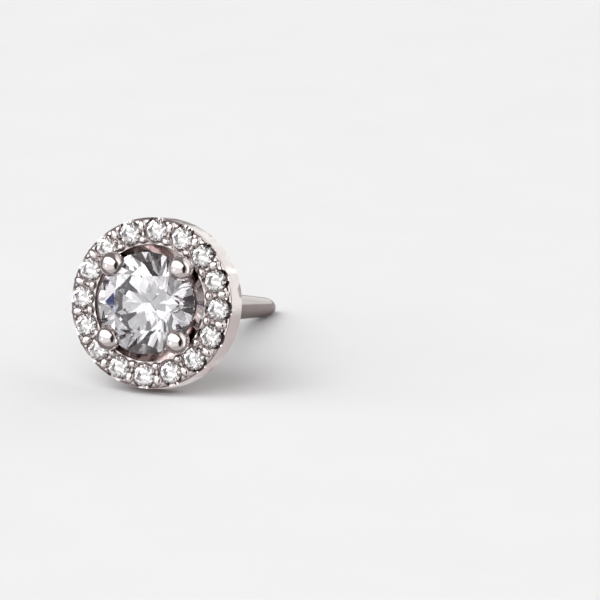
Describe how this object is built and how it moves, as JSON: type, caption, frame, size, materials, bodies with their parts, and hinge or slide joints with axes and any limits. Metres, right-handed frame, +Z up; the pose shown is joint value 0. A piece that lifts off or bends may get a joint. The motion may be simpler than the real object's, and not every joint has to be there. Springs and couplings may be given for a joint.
{
  "type": "stud earring",
  "caption": "Round halo stud earring: a brilliant-cut stone in claws inside a beaded ring of small stones, with a plain post.",
  "frame": {"origin": "middle of the footprint, on the surface that the stud lies on", "axes": "+Z up; the face looks towards -Y and a little up; the post runs towards +Y and down to the surface"},
  "size_m": [0.007, 0.0152, 0.007],
  "materials": {
    "silver": "polished, rhodium-bright",
    "clear_stone": "facet-polished"
  },
  "bodies": {
    "root": {"setting": "silver", "center_stone": "clear_stone", "halo_stone_01": "clear_stone", "halo_stone_02": "clear_stone", "halo_stone_03": "clear_stone", "halo_stone_04": "clear_stone", "halo_stone_05": "clear_stone", "halo_stone_06": "clear_stone", "halo_stone_07": "clear_stone", "halo_stone_08": "clear_stone", "halo_stone_09": "clear_stone", "halo_stone_10": "clear_stone", "halo_stone_11": "clear_stone", "halo_stone_12": "clear_stone", "halo_stone_13": "clear_stone", "halo_stone_14": "clear_stone", "halo_stone_15": "clear_stone", "halo_stone_16": "clear_stone"}
  },
  "joints": []
}
